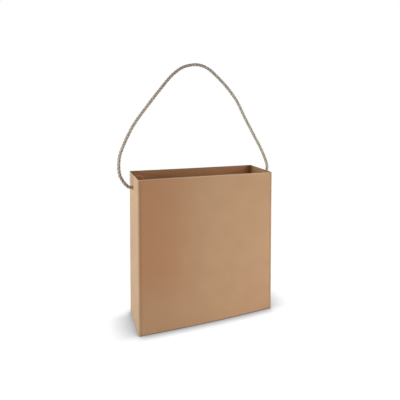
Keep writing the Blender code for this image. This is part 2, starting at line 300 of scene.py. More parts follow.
class Value:
    """A node's socket that takes part in plain arithmetic."""

    def __init__(self, finish, socket):
        self.finish = finish
        self.socket = socket

    def math(self, operation, *others):
        return self.finish.node("ShaderNodeMath", {"operation": operation}, dict(enumerate((self, *others))))

    def __add__(self, other):
        return self.math("ADD", other)

    __radd__ = __add__

    def __mul__(self, other):
        return self.math("MULTIPLY", other)

    __rmul__ = __mul__

    def __sub__(self, other):
        return self.math("SUBTRACT", other)

    def __rsub__(self, other):
        return self.finish.node("ShaderNodeMath", {"operation": "SUBTRACT"}, {0: other, 1: self})

    def __truediv__(self, other):
        return self.math("DIVIDE", other)

    def __abs__(self):
        return self.math("ABSOLUTE")

    def sine(self):
        return self.math("SINE")

    def between(self, low, high):
        """0 below low and 1 above high, smooth on the way."""
        settings = {"interpolation_type": "SMOOTHSTEP"}
        inputs = {"Value": self, "From Min": low, "From Max": high}
        return self.finish.node("ShaderNodeMapRange", settings, inputs)

    def lifted(self, low):
        """A share from 0 to 1 as a share from low to 1."""
        return self * (1 - low) + low


class Nodes:
    """The nodes of a material or of the world."""

    def __init__(self, tree):
        self.tree = tree

    def node(self, kind, settings=None, inputs=None, output=0):
        """Add a node: its settings first, then the values or links of its sockets."""
        node = self.tree.nodes.new(kind)
        for key, value in (settings or {}).items():
            setattr(node, key, value)
        for key, value in (inputs or {}).items():
            if isinstance(value, Value):
                self.tree.links.new(value.socket, node.inputs[key])
            else:
                node.inputs[key].default_value = value
        return Value(self, node.outputs[output])

    def show_white(self, shader, white, share):
        """Let the camera, and rays mirrored or let through by a surface, see white in place of a shader."""
        kinds = ("Is Camera Ray", "Is Glossy Ray", "Is Transmission Ray")
        camera, glossy, through = (self.node("ShaderNodeLightPath", output=kind) for kind in kinds)
        seen = camera.math("MAXIMUM", glossy).math("MAXIMUM", through) * share
        mixed = self.node("ShaderNodeMixShader", {}, {0: seen, 1: shader, 2: white})
        outputs = ("ShaderNodeOutputMaterial", "ShaderNodeOutputWorld")
        end = next(node for node in self.tree.nodes if node.bl_idname in outputs)
        self.tree.links.new(mixed.socket, end.inputs["Surface"])


class Finish(Nodes):
    """A material made of nodes round one Principled surface."""

    def __init__(self, name, roughness, **constants):
        self.material = bpy.data.materials.new(name)
        self.material.use_nodes = True
        super().__init__(self.material.node_tree)
        self.surface = self.tree.nodes["Principled BSDF"]
        self.surface.inputs["Roughness"].default_value = roughness
        for socket, value in constants.items():
            self.surface.inputs[socket.replace("_", " ")].default_value = value

    @cached_property
    def place(self):
        """Object coordinates, in metres."""
        return self.node("ShaderNodeTexCoord", output=3)

    @cached_property
    def flat(self):
        """The piece's own flat coordinates: metres along the board or the rope."""
        return self.node("ShaderNodeUVMap", {"uv_map": "flat"})

    def attribute(self, name):
        """A number that the mesh carries at its points."""
        return self.node("ShaderNodeAttribute", {"attribute_name": name}, output=2)

    def axis(self, vector, name):
        """One coordinate of a vector."""
        return self.node("ShaderNodeSeparateXYZ", {}, {0: vector}, output="XYZ".index(name))

    def scaled(self, vector, scale):
        """A vector times another, part by part."""
        return self.node("ShaderNodeVectorMath", {"operation": "MULTIPLY"}, {0: vector, 1: scale})

    def noise(self, scale, detail=2, roughness=0.5, vector=None):
        """Soft noise round 0, from about -0.5 to 0.5, by place where no other vector is given."""
        settings = {"noise_dimensions": "3D"}
        inputs = {"Vector": vector or self.place, "Scale": scale, "Detail": detail, "Roughness": roughness}
        return self.node("ShaderNodeTexNoise", settings, inputs) - 0.5

    def blend(self, share, low, high):
        """One colour to another by a share."""
        settings = {"data_type": "RGBA", "blend_type": "MIX", "clamp_factor": True}
        low, high = ((*end, 1) if isinstance(end, tuple) else end for end in (low, high))
        return self.node("ShaderNodeMix", settings, {0: share, 6: low, 7: high}, output=2)

    def coated(self, colour, height, distance):
        """The material with its colour and its relief, whose height in metres is a distance times a value."""
        relief = self.node("ShaderNodeBump", {}, {"Height": height, "Distance": distance, "Strength": 1.0})
        self.tree.links.new(colour.socket, self.surface.inputs["Base Color"])
        self.tree.links.new(relief.socket, self.surface.inputs["Normal"])
        return self.material


def kraft_colour(finish, light, dark):
    """Brown kraft: soft clouds, long fibres across the flutes, and flecks."""
    clouds = finish.noise(scale=22, detail=3, roughness=0.55)
    stretched = finish.scaled(finish.flat, GRAIN_STRETCH)
    grain = finish.noise(scale=1, detail=3, roughness=0.6, vector=stretched)
    flecks = finish.noise(scale=1500, roughness=0.6)
    share = 0.5 + clouds + grain * GRAIN_SHARE + flecks * FLECK_SHARE
    return finish.blend(share, dark, light), grain, flecks


def cut_tone(finish):
    """The colour of the cut rim: its own pale tone at the front and left, painted shade in dark grey at the
    back and on the right.
    """
    back = finish.axis(finish.place, "Y").between(*RIM_SHADE_BACK)
    right = finish.axis(finish.place, "X").between(*RIM_SHADE_RIGHT)
    return finish.blend(back.math("MAXIMUM", right), RIM_PALE, RIM_SHADE_GREY)


def warmth(finish, across, up):
    """How warm the paper is: most on the left of the front panel, less at its foot and on the sides."""
    past_fold = across - FRONT_START
    drift = past_fold + finish.noise(scale=12) * WARM_WAVER
    on_front = past_fold.between(-FOLD_BLUR, FOLD_BLUR).lifted(SIDE_WARMTH)
    return (1 - drift.between(*WARM_FADE)) * on_front * up.between(*WARM_RISE).lifted(FOOT_WARMTH)


def flutes_below(finish, across, clouds):
    """The flutes that show through the paper, as soft upright lines of uneven strength."""
    flutes = ((across / FLUTE_PITCH + clouds * FLUTE_WAVER) * math.tau).sine()
    return flutes * (FLUTE_STRENGTH + finish.noise(scale=9))


def fold_distance(across):
    """How far a place on the sleeve is from its nearest fold."""
    distance = abs(across - FRONT_START)
    for middle, _ in SLEEVE.bends():
        distance = distance.math("MINIMUM", abs(across - middle))
    return distance


def painted_hole_shade(middle, across, up, flecks):
    """Painted shade beside a hole: a dark oval reaching to its front side, where the hole and the rope's end
    lie in shadow.
    """
    aside, above = (across - middle) / HOLE_SHADE_HALF_WIDTH, (up - HOLE_SHADE_HEIGHT) / HOLE_SHADE_HALF_HEIGHT
    return 1 - (aside * aside + above * above + flecks * HOLE_SHADE_FLECKS).between(*HOLE_SHADE_FADE)


def kraft_liner(name, light, dark, wear_and_shade_colour, gloss, score_shade_strength, corner_shade):
    """The paper on the outside or inside of the board, with the flutes just showing through."""
    roughness = PAPER_ROUGHNESS - GLOSS_SMOOTHING * gloss
    finish = Finish(name, roughness, Sheen_Weight=0.1, Sheen_Roughness=0.45, Specular_IOR_Level=gloss)
    across, up = finish.axis(finish.flat, "X"), finish.axis(finish.place, "Z")
    colour, grain, flecks = kraft_colour(finish, light, dark)
    colour = finish.blend(warmth(finish, across, up) * WARM_SHARE, colour, WARM_KRAFT)
    clouds = finish.noise(scale=30)
    lines = flutes_below(finish, across, clouds)
    colour = finish.blend(0.5 + lines * 0.5, colour, finish.blend(FLUTE_TINT, colour, FLUTE_LINE))
    # Near folds and the foot: lighter scuffs on the outer paper, and on the inner paper painted shade in a
    # dark brown
    unevenness = SCUFF_AND_SHADE_EVEN + finish.noise(scale=240, detail=3, roughness=0.6) * SCUFF_AND_SHADE_WAVER
    scuffs_and_shade = (finish.attribute("wear_and_shade") * unevenness).between(*SCUFF_AND_SHADE_RANGE)
    colour = finish.blend(scuffs_and_shade * SCUFF_AND_SHADE_SHARE, colour, wear_and_shade_colour)
    # Painted shade: a dark line a little way from each fold, where the pressed score's groove would lie in
    # shade
    from_fold = fold_distance(across)
    painted_score_shade = 1 - abs(from_fold - SCORE_OFFSET).between(*SCORE_BLUR)
    colour = finish.blend(painted_score_shade * (score_shade_strength + grain * SCORE_GRAIN), colour, SCORE_GROOVE_SHADE)
    # Painted shade: the inner paper darkens towards each fold, deepest in the inside corners
    if corner_shade:
        painted_corner_shade = 1 - (from_fold + clouds * CORNER_WAVER).between(*CORNER_FADE)
        colour = finish.blend(painted_corner_shade * corner_shade, colour, CORNER_PAINTED_SHADE)
    # Painted shade beside each hole, towards the front
    for middle in (LEFT_HOLE + HOLE_SHADE_ASIDE, RIGHT_HOLE - HOLE_SHADE_ASIDE):
        colour = finish.blend(painted_hole_shade(middle, across, up, flecks) * HOLE_SHADE_SHARE, colour, HOLE_SHADE_BROWN)
    # The rim band takes the cut rim's colour, with its painted shade at the back and right
    rim = finish.axis(finish.flat, "Y").between(*RIM_BAND)
    colour = finish.blend(rim * RIM_SHARE, colour, cut_tone(finish))
    dents = scuffs_and_shade * finish.noise(scale=700, roughness=0.6) * DENT_DEPTH
    return finish.coated(colour, lines * 0.5 + grain * 0.5 + flecks * 0.6 + dents, PAPER_RELIEF)


def flute_paper():
    """The wavy sheet inside the board, a little darker and rougher than the liners."""
    finish = Finish("flute_paper", RAW_ROUGHNESS, **RAW_PAPER)
    colour, grain, flecks = kraft_colour(finish, **CORE_KRAFT)
    # The rim takes the cut rim's colour too, with its painted shade at the back and right
    rim = finish.axis(finish.flat, "Y").between(*CORE_RIM_BAND)
    return finish.coated(finish.blend(rim * 0.5, colour, cut_tone(finish)), grain + flecks, CORE_RELIEF)


def cut_edge():
    """The cut side of a board flap: two liners with the wave of the fluted sheet between them."""
    finish = Finish("cut_edge", RAW_ROUGHNESS, **RAW_PAPER)
    across, depth = finish.axis(finish.flat, "X"), finish.axis(finish.flat, "Y")
    wave = (across * (math.tau / FLUTE_PITCH)).sine() * CUT_WAVE + 0.5
    sheet = 1 - abs(depth - wave).between(*CUT_SHEET)
    paper = sheet.math("MAXIMUM", abs(depth - 0.5).between(*CUT_LINERS))
    colour, _, flecks = kraft_colour(finish, **CUT_KRAFT)
    # The hollows between the papers are painted shade, a dark brown on the flat cut face
    return finish.coated(finish.blend(paper, CUT_HOLLOW_SHADE, colour), paper * CUT_DEPTH + flecks, PAPER_RELIEF)


def twisted_fibre():
    """Undyed spun fibre: yarns wound along each strand, pale and dark hairs, painted shade in the grooves
    between strands, darker where hands hold it.
    """
    finish = Finish("twisted_fibre", 0.95, Sheen_Weight=0.4, Sheen_Roughness=0.5, Specular_IOR_Level=0.15)
    along, around = finish.axis(finish.flat, "X"), finish.axis(finish.flat, "Y")
    turned = around + along * YARN_LEAN
    yarns = (turned * (YARNS * math.tau)).sine()
    spun = finish.node("ShaderNodeCombineXYZ", {}, {"X": turned, "Y": along})
    hairs = finish.noise(scale=1, detail=3, roughness=0.65, vector=finish.scaled(spun, HAIR_STRETCH))
    finer = finish.scaled(spun, FINE_HAIR_STRETCH)
    fine_hairs = finish.noise(scale=1, detail=4, roughness=0.7, vector=finer)
    clouds = finish.noise(scale=60)
    share = 0.5 + yarns * YARN_TONE + hairs + fine_hairs * FINE_TONE + clouds * 0.5
    colour = finish.blend(share, FIBRE_DARK, FIBRE_LIGHT)
    # Painted shade in the grooves between the strands
    colour = finish.blend(finish.attribute("groove") * GROOVE_SHADE_SHARE, colour, GROOVE_SHADE_COLOUR)
    handled = finish.axis(finish.place, "Z").between(*HANDLED_RISE)
    colour = finish.blend(handled * HANDLED_SHARE, colour, FIBRE_HANDLED)
    return finish.coated(colour, yarns * YARN_DEPTH + hairs * HAIR_DEPTH + fine_hairs, FIBRE_RELIEF)


# Pieces

def add_mesh(name, shape, materials):
    """Turn a shape into an object."""
    mesh = bpy.data.meshes.new(name)
    shape.to_mesh(mesh)
    shape.free()
    for material in materials:
        mesh.materials.append(material)
    return add_object(name, mesh)


def new_piece(name, shape, body, materials):
    """Turn a shape into a piece that rides on its body."""
    for face in shape.faces:
        face.smooth = True
    piece = add_mesh(name, shape, materials)
    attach(piece, body)
    return piece


def thicken(piece, thickness, offset):
    """Give a sheet its thickness, to the inside at -1 and to both sides at 0."""
    wall = piece.modifiers.new("thickness", "SOLIDIFY")
    wall.thickness = thickness
    wall.offset = offset
    wall.use_quality_normals = True


def smooth_by_angle(piece, degrees):
    """Shade round bends softly and cut edges sharply."""
    bpy.context.view_layer.objects.active = piece
    piece.select_set(True)
    bpy.ops.object.shade_smooth_by_angle(angle=math.radians(degrees))
    piece.select_set(False)


class FoldLine:
    """A line that runs straight and round creases, followed by its length."""

    def __init__(self, start, heading, runs):
        self.runs = []
        self.length = 0
        place, angle = Vector(start), heading
        for length, turn in runs:
            self.runs.append((self.length, length, turn, place, angle))
            place = self.walk(place, angle, length, turn, 1)
            angle += turn
            self.length += length

    @staticmethod
    def walk(place, angle, length, turn, share):
        """The point a share of the way along one run."""
        if not turn:
            return place + Vector((math.cos(angle), math.sin(angle))) * length * share
        radius, ahead = length / turn, angle + turn * share
        chord = Vector((math.sin(ahead) - math.sin(angle), math.cos(angle) - math.cos(ahead)))
        return place + chord * radius

    def at(self, walked, outset):
        """The point at a length along the line, set out to its right."""
        for start, length, turn, place, angle in self.runs:
            if walked <= start + length:
                break
        share = (walked - start) / length
        ahead = angle + turn * share
        outward = Vector((math.sin(ahead), -math.cos(ahead)))
        return self.walk(place, angle, length, turn, share) + outward * outset

    def bends(self):
        """The middle and half length of every bend."""
        return [(start + length / 2, length / 2) for start, length, turn, *_ in self.runs if turn]

    def scores(self, longest, fold_steps):
        """Where to score along the line: evenly where it is straight, closely round its folds."""
        places = []
        for start, length, turn, *_ in self.runs:
            places += [start] if start else []
            places += steps_between(start, start + length, length / fold_steps if turn else longest)
        return places


def settle(point):
    """Where a point of the flat-sided bag has moved to as its panels bowed."""
    x, y, z = point
    up = min(max(z / BAG_HEIGHT, 0), 1)
    belly = BASE_BULGE * (1 - up) ** BULGE_FADE - RIM_DRAW_IN * up ** 2
    front = math.cos(math.pi * min(abs(x) / BAG_WIDTH, 0.5)) * belly
    bow = SIDE_BOW * math.sin(math.pi * up) * (1 - up)
    side = math.cos(math.pi * min(abs(y) / BAG_DEPTH, 0.5)) * bow
    waver = noise.noise(Vector((x, y, z)) * WAVES_PER_METRE) * BOARD_WAVER * min(1, up * WAVER_RISE)
    y += y / MID_HALF_DEPTH * front + waver * y / MID_HALF_DEPTH
    x -= x / MID_HALF_WIDTH * side
    rise = max(0, (z - RISE_START) / (BAG_HEIGHT - RISE_START)) ** RISE_CURVE
    return Vector((x, y, z + BACK_RISE * rise * (0.5 + y / BAG_DEPTH)))


# Walls

CORNER_RADIUS = CREASE_RADIUS - HALF_BOARD
CORNER = (CORNER_RADIUS * math.pi / 2, math.pi / 2)
SEAM_MID = MID_HALF_DEPTH - BOARD - FIT_GAP
SEAM_RUN = SEAM_WIDTH - CORNER_RADIUS
LEFT_RUN = SEAM_MID + MID_HALF_DEPTH - 2 * CORNER_RADIUS
FRONT_RUN = 2 * (MID_HALF_WIDTH - CORNER_RADIUS)
RIGHT_RUN = 2 * (MID_HALF_DEPTH - CORNER_RADIUS)
BACK_RUN = 2 * MID_HALF_WIDTH - CORNER_RADIUS + HALF_BOARD / 2
PANEL_RUNS = [(length, 0) for length in (SEAM_RUN, LEFT_RUN, FRONT_RUN, RIGHT_RUN)]
SLEEVE = FoldLine(
    (-MID_HALF_WIDTH + SEAM_WIDTH, SEAM_MID),
    math.pi,
    [run for panel in PANEL_RUNS for run in (panel, CORNER)] + [(BACK_RUN, 0)],
)
LEFT_START = SEAM_RUN + CORNER[0]
FRONT_START = LEFT_START + LEFT_RUN + CORNER[0]
RIGHT_START = FRONT_START + FRONT_RUN + CORNER[0]
LEFT_HOLE = LEFT_START + SEAM_MID - CORNER_RADIUS - HOLE_Y
RIGHT_HOLE = RIGHT_START + MID_HALF_DEPTH - CORNER_RADIUS + HOLE_Y
HOLES = (LEFT_HOLE, RIGHT_HOLE)
PATCH = 0.010
PATCH_MARGIN = 1.2 * PATCH
PATCH_STEPS = 8
PATCH_RINGS = 5
PANEL_STEP = 0.011
FOLD_STEPS = 6
ROW_STEP = 0.013
EDGE_STEP = 0.0005
FOLD_CLEARANCE = 0.0010
NOTCH = (FRONT_START + FOLD_CLEARANCE, FRONT_START + FRONT_RUN - FOLD_CLEARANCE)
FOOT_ROW = CREASE_RADIUS + 0.0008
RIM_ROW = BAG_HEIGHT - 0.001
LIP_WIDTH = 0.0032
OUTER_LIP = -0.00042
INNER_LIP = 0.00040
WEAR_AND_SHADE_REACH = 2.2
FOOT_WEAR_AND_SHADE = 0.8
FOOT_WEAR_AND_SHADE_HEIGHT = 0.0035
FLUTE_STEPS = 8
FLUTE_CRUSH = 0.5
FLUTE_ROW_STEP = 0.045
FLUTE_ROW_HIGH = BAG_HEIGHT - 0.012
FLUTE_TOP = BAG_HEIGHT - 0.0001
HOLE_MARGIN = 0.008
HOLE_ROWS = [HOLE_HEIGHT + 0.0046 * step / 3 for step in range(-3, 4)]
FLUTE_CLEARANCE = 0.0004
SHARP_LINER = 50
SHARP_FLAP = 40
WELD = 1e-6
CUT_WELD = 1e-7


def cut_across(shape, axis, places):
    """Cut a flat sheet along straight lines at right angles to an axis."""
    normal = Vector((1 - axis, axis, 0))
    for place in places:
        everything = shape.verts[:] + shape.edges[:] + shape.faces[:]
        plane = {"plane_co": normal * place, "plane_no": normal}
        bmesh.ops.bisect_plane(shape, geom=everything, dist=CUT_WELD, **plane)


def trim(shape, point, normal, wanted):
    """Cut some faces along a line and drop what lies beyond it."""
    faces = [face for face in shape.faces if wanted(face.calc_center_median())]
    edges = {edge for face in faces for edge in face.edges}
    verts = {vert for face in faces for vert in face.verts}
    plane = {"plane_co": (*point, 0), "plane_no": (*normal, 0)}
    bmesh.ops.bisect_plane(shape, geom=[*verts, *edges, *faces], dist=CUT_WELD, **plane)
    drop_faces(shape, lambda middle: wanted(middle) and (middle.xy - Vector(point)).dot(Vector(normal)) > 0)


def drop_faces(shape, wanted):
    """Delete the faces whose middles are wanted gone."""
    doomed = [face for face in shape.faces if wanted(face.calc_center_median())]
    bmesh.ops.delete(shape, geom=doomed, context="FACES")


def steps_between(low, high, longest):
    """Evenly spaced places between two ends, without the ends."""
    count = max(1, math.ceil((high - low) / longest))
    return [low + (high - low) * step / count for step in range(1, count)]


def open_hole(shape, along, up):
    """Make a round hole in a flat sheet, with rings of faces round it for its pressed lip."""
    def in_patch(point):
        return max(abs(point.x - along), abs(point.y - up)) < PATCH + WELD

    drop_faces(shape, in_patch)
    rim = [edge for edge in shape.edges if edge.is_boundary]
    square = [edge for edge in rim if all(in_patch(vert.co) for vert in edge.verts)]
    start = Matrix.Translation((along, up, 0)) @ Matrix.Rotation(math.radians(45), 4, "Z")
    made = bmesh.ops.create_circle(shape, segments=4 * PATCH_STEPS, radius=HOLE_RADIUS, matrix=start)
    circle = list({edge for vert in made["verts"] for edge in vert.link_edges})
    bridged = bmesh.ops.bridge_loops(shape, edges=square + circle)
    between = {edge for face in bridged["faces"] for edge in face.edges}
    spokes = [edge for edge in between if not edge.is_boundary and edge not in square]
    bmesh.ops.subdivide_edges(shape, edges=spokes, cuts=PATCH_RINGS, use_grid_fill=True)


def flat_sleeve(columns, rows):
    """The four walls and the glue flap as one flat sheet, scored into columns and rows."""
    shape = bmesh.new()
    bmesh.ops.create_grid(shape, x_segments=1, y_segments=1, size=0.5)
    bmesh.ops.translate(shape, verts=shape.verts, vec=(0.5, 0.5, 0))
    low, high = rows[0], rows[-1]
    bmesh.ops.scale(shape, verts=shape.verts, vec=(SLEEVE.length, high - low, 1))
    bmesh.ops.translate(shape, verts=shape.verts, vec=(0, low, 0))
    cut_across(shape, 0, columns)
    cut_across(shape, 1, rows[1:-1])
    return shape


def trim_seam(shape):
    """Cut the glue flap's tapered ends, its setback at the rim and its foot above the base flaps."""
    def in_seam(middle):
        return middle.x < SEAM_RUN

    top, slope = BAG_HEIGHT - SEAM_TOP_SETBACK, SEAM_TAPER / SEAM_RUN
    upper, lower = Vector((-slope, 1)).normalized(), Vector((-slope, -1)).normalized()
    trim(shape, (SEAM_RUN, top), upper, in_seam)
    trim(shape, (SEAM_RUN, SEAM_LOW), lower, in_seam)


def with_patches(places, holes):
    """Score lines with the square patches round the holes in place of those that would cross them."""
    clear = [place for place in places if all(abs(place - hole) > PATCH_MARGIN for hole in holes)]
    steps = [PATCH * (2 * step / PATCH_STEPS - 1) for step in range(PATCH_STEPS + 1)]
    return sorted(clear + [hole + step for hole in holes for step in steps])


def sleeve_columns():
    """Where the flat sleeve is scored: evenly along the panels, closely round the creases."""
    return with_patches(SLEEVE.scores(PANEL_STEP, FOLD_STEPS) + [*NOTCH], HOLES)


def sleeve_rows(low):
    """The heights at which the flat sleeve is scored, from its lower edge to the rim."""
    rows = [low] + steps_between(low, HALF_BOARD, EDGE_STEP) if low < HALF_BOARD else []
    rows += [HALF_BOARD, CREASE_RADIUS, FOOT_ROW] + steps_between(FOOT_ROW, RIM_ROW, ROW_STEP)
    return with_patches(rows + [RIM_ROW, BAG_HEIGHT], (HOLE_HEIGHT,))


def wrap_sleeve(shape, outset, lip=0.0, wave=0.0):
    """Fold a flat sheet round the bag, out from the middle of the board, and keep its flat coordinates."""
    flat = shape.loops.layers.uv.new("flat")
    wear_and_shade = shape.verts.layers.float.new("wear_and_shade")
    bends = SLEEVE.bends()
    for vert in shape.verts:
        along, up = vert.co.xy
        for loop in vert.link_loops:
            loop[flat].uv = (along, up)
        # How near a fold or the foot the point lies: scuffs on the outer paper, painted shade on the inner
        # paper
        nearest, half = min(bends, key=lambda bend: abs(along - bend[0]))
        bend = max(0, 1 - abs(along - nearest) / (WEAR_AND_SHADE_REACH * half))
        vert[wear_and_shade] = max(bend, FOOT_WEAR_AND_SHADE * max(0, 1 - up / FOOT_WEAR_AND_SHADE_HEIGHT))
        out = outset
        if wave:
            out += wave * math.sin(math.tau * along / FLUTE_PITCH) * (1 - FLUTE_CRUSH * min(1, 2 * bend))
        for hole in HOLES:
            reach = math.hypot(along - hole, up - HOLE_HEIGHT)
            press = max(0, 1 - (reach - HOLE_RADIUS) / LIP_WIDTH)
            out += lip * press ** 2
        if up < HALF_BOARD:
            turned = (HALF_BOARD - up) / HALF_BOARD
            out, up = out * math.cos(turned), HALF_BOARD - HALF_BOARD * math.sin(turned)
        place = SLEEVE.at(along, out)
        vert.co = settle((place.x, place.y, up))


def notch_front(shape):
    """Leave room at the front panel's foot for the front flap's rolled crease."""
    low, high = NOTCH
    drop_faces(shape, lambda middle: low < middle.x < high and middle.y < CREASE_RADIUS)


def make_liner(name, outset, low, lip, material):
    """One of the two papers that cover the board, round all four walls and the glue flap."""
    shape = flat_sleeve(sleeve_columns(), sleeve_rows(low))
    trim_seam(shape)
    notch_front(shape)
    for hole in HOLES:
        open_hole(shape, hole, HOLE_HEIGHT)
    wrap_sleeve(shape, outset, lip=lip)
    piece = new_piece(name, shape, "bag", [material])
    thicken(piece, LINER, -1)
    smooth_by_angle(piece, SHARP_LINER)
    return piece


def grid_index(place, count):
    """Which of the evenly spaced lines of a unit grid a place lies on."""
    return round((place + 0.5) * (count - 1))


def make_fluting(material):
    """The wavy sheet between the liners, its flutes open at the rim."""
    columns = [0, *steps_between(0, SLEEVE.length, FLUTE_PITCH / FLUTE_STEPS), SLEEVE.length]
    rows = [CREASE_RADIUS] + steps_between(CREASE_RADIUS, HOLE_HEIGHT - HOLE_MARGIN, FLUTE_ROW_STEP)
    rows += [*HOLE_ROWS, FLUTE_ROW_HIGH, FLUTE_TOP]
    shape = bmesh.new()
    bmesh.ops.create_grid(shape, x_segments=len(columns) - 1, y_segments=len(rows) - 1, size=0.5)
    for vert in shape.verts:
        along, up = grid_index(vert.co.x, len(columns)), grid_index(vert.co.y, len(rows))
        vert.co = (columns[along], rows[up], 0)
    trim_seam(shape)
    for hole in HOLES:
        centre = Vector((hole, HOLE_HEIGHT))
        opening = HOLE_RADIUS + FLUTE_CLEARANCE
        drop_faces(shape, lambda middle, centre=centre: (middle.xy - centre).length < opening)
    wrap_sleeve(shape, 0, wave=(BOARD - 2 * LINER - FLUTE_SHEET) / 2)
    thicken(new_piece("fluting", shape, "bag", [material]), FLUTE_SHEET, 0)


def make_walls(outer, inner, fluting):
    """The bag's folded sleeve: an outer paper, a wavy one and an inner paper."""
    outside = make_liner("outer_liner", HALF_BOARD, HALF_BOARD * (1 - math.pi), OUTER_LIP, outer)
    inside = make_liner("inner_liner", LINER - HALF_BOARD, HALF_BOARD, INNER_LIP, inner)
    make_fluting(fluting)
    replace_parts(outside, "front_panel", "back_panel", "left_side_panel", "right_side_panel")
    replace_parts(inside, "glue_flap")


# Base flaps

def mirrored(points):
    """A right half's points, then the same points mirrored to the left half in reverse order."""
    return points + [(-x, y) for x, y in reversed(points)]


def flap_outlines():
    """Each flat base flap's name, outline and layer, and the axis that its flutes are counted along."""
    crease_x = INNER_HALF_WIDTH - FLAP_RELIEF
    recess_x = TONGUE_WIDTH / 2 + RECESS_CLEARANCE
    back = mirrored([
        (recess_x, RECESS_EDGE),
        (recess_x + EAR_SLOPE, -EAR_REACH),
        (crease_x - EAR_TAPER, -EAR_REACH),
        (crease_x, INNER_HALF_DEPTH - CREASE_RADIUS),
        (crease_x, INNER_HALF_DEPTH),
    ])
    edge_y = INNER_HALF_DEPTH - FLAP_RELIEF
    tip_x = INNER_HALF_WIDTH - SIDE_FLAP_REACH
    right = [
        (INNER_HALF_WIDTH, -edge_y),
        (INNER_HALF_WIDTH, edge_y),
        (INNER_HALF_WIDTH - CREASE_RADIUS, edge_y),
        (tip_x + SIDE_FLAP_TAPER, edge_y - SIDE_FLAP_CORNER),
        (tip_x, SIDE_FLAP_NOTCH),
        (tip_x, -edge_y + SIDE_FLAP_CORNER),
        (tip_x + SIDE_FLAP_CORNER, -edge_y),
    ]
    left = [(-x, y) for x, y in reversed(right)]
    return [
        ("base_flap_back", back, BACK_LAYER, 0),
        ("base_flap_left", left, SIDE_LAYER, 1),
        ("base_flap_right", right, SIDE_LAYER, 1),
    ]


def front_profile():
    """The front flap from the side: round its crease, along the floor, up the ramp and on."""
    bend = TONGUE_BEND * math.tan(TONGUE_ANGLE / 2)
    curve = TONGUE_BEND * TONGUE_ANGLE
    floor_run = MID_HALF_DEPTH - CORNER_RADIUS - SHOULDER_SETBACK - bend
    runs = [CORNER, (floor_run, 0), (curve, TONGUE_ANGLE), (TONGUE_RAMP - 2 * bend, 0)]
    runs += [(curve, -TONGUE_ANGLE), (TONGUE_REACH - bend, 0)]
    return FoldLine((-MID_HALF_DEPTH, CREASE_RADIUS), math.radians(-90), runs)


def front_outline(profile):
    """The front flap laid out flat, from its crease's start on the wall to the tongue's tip."""
    crease_x = INNER_HALF_WIDTH - FLAP_RELIEF
    tongue_x = TONGUE_WIDTH / 2
    shoulder = profile.runs[2][0]
    return mirrored([
        (crease_x, 0),
        (crease_x, CORNER[0] + CREASE_RADIUS),
        (crease_x - SHOULDER_TAPER, shoulder - SHOULDER_DROP),
        (tongue_x + RECESS_CLEARANCE, shoulder),
        (tongue_x, shoulder),
        (tongue_x, profile.runs[5][0]),
        (tongue_x - TONGUE_TAPER, profile.length),
    ])


def flat_flap(outline, columns, rows, flutes_axis):
    """A flat board flap of full thickness, with inner paper on top, cut sides and outer paper below."""
    shape = bmesh.new()
    verts = [shape.verts.new((*point, 0)) for point in outline]
    bmesh.ops.contextual_create(shape, geom=verts)
    cut_across(shape, 0, columns)
    cut_across(shape, 1, rows)
    made = bmesh.ops.extrude_face_region(shape, geom=shape.faces[:])
    lifted = [item for item in made["geom"] if isinstance(item, bmesh.types.BMVert)]
    bmesh.ops.translate(shape, verts=lifted, vec=(0, 0, BOARD))
    bmesh.ops.recalc_face_normals(shape, faces=shape.faces)
    edges = [edge for edge in shape.edges if len(edge.link_faces) == 2 and edge.calc_face_angle() > 1]
    flat = shape.loops.layers.uv.new("flat")
    shape.verts.layers.float.new("wear_and_shade")
    for face in shape.faces:
        face.material_index = 1 - round(face.normal.z)
        is_side = face.material_index == 1
        for loop in face.loops:
            place = loop.vert.co
            across, along = place[flutes_axis], place[1 - flutes_axis]
            loop[flat].uv = (across + FLAT_APART, place.z / BOARD if is_side else along)
    level = [edge for edge in edges if abs(edge.verts[0].co.z - edge.verts[1].co.z) < BOARD / 2]
    bmesh.ops.bevel(
        shape, geom=level, offset=CUT_EDGE_ROUNDING, affect="EDGES", segments=2, profile=0.5, material=-1
    )
    return shape


def finish_flap(name, shape, papers):
    """Settle a folded flap with the walls and hand it over as a piece."""
    for vert in shape.verts:
        vert.co = settle(vert.co)
    piece = new_piece(name, shape, "bag", papers)
    smooth_by_angle(piece, SHARP_FLAP)
    return piece


def make_base(papers):
    """Four flaps that lock into the base: back and sides flat, the front one with its raised tongue."""
    columns = steps_between(-MID_HALF_WIDTH, MID_HALF_WIDTH, FLAP_STEP)
    rows = steps_between(-MID_HALF_DEPTH, MID_HALF_DEPTH, FLAP_STEP)
    for node, outline, layer, flutes_axis in flap_outlines():
        shape = flat_flap(outline, columns, rows, flutes_axis)
        bmesh.ops.translate(shape, verts=shape.verts, vec=(0, 0, layer - HALF_BOARD))
        piece = finish_flap(node.replace("base_flap", "locking_flap"), shape, papers)
        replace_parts(piece, node)
    profile = front_profile()
    shape = flat_flap(front_outline(profile), columns, profile.scores(FLAP_STEP, FOLD_STEPS), 0)
    for vert in shape.verts:
        place = profile.at(vert.co.y, HALF_BOARD - vert.co.z)
        vert.co = (vert.co.x, place.x, place.y)
    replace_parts(finish_flap("locking_flap_front", shape, papers), "base_flap_front")


# Rope

def smooth_line(points, spacing):
    """Evenly spaced points on a smooth curve through the given ones, all but the first and the last."""
    points = np.array(points, float)
    dense = []
    shares = np.linspace(0, 1, CURVE_STEPS, endpoint=False)[:, None]
    for before, start, end, after in zip(points, points[1:], points[2:], points[3:]):
        dense.append(0.5 * (
            2 * start + (end - before) * shares
            + (2 * before - 5 * start + 4 * end - after) * shares ** 2
            + (3 * start - before - 3 * end + after) * shares ** 3
        ))
    return evenly(np.vstack([*dense, points[-2]]), spacing)


def lengths_along(points):
    """How far along a line each of its points lies."""
    return np.concatenate([[0], np.cumsum(np.linalg.norm(np.diff(points, axis=0), axis=1))])


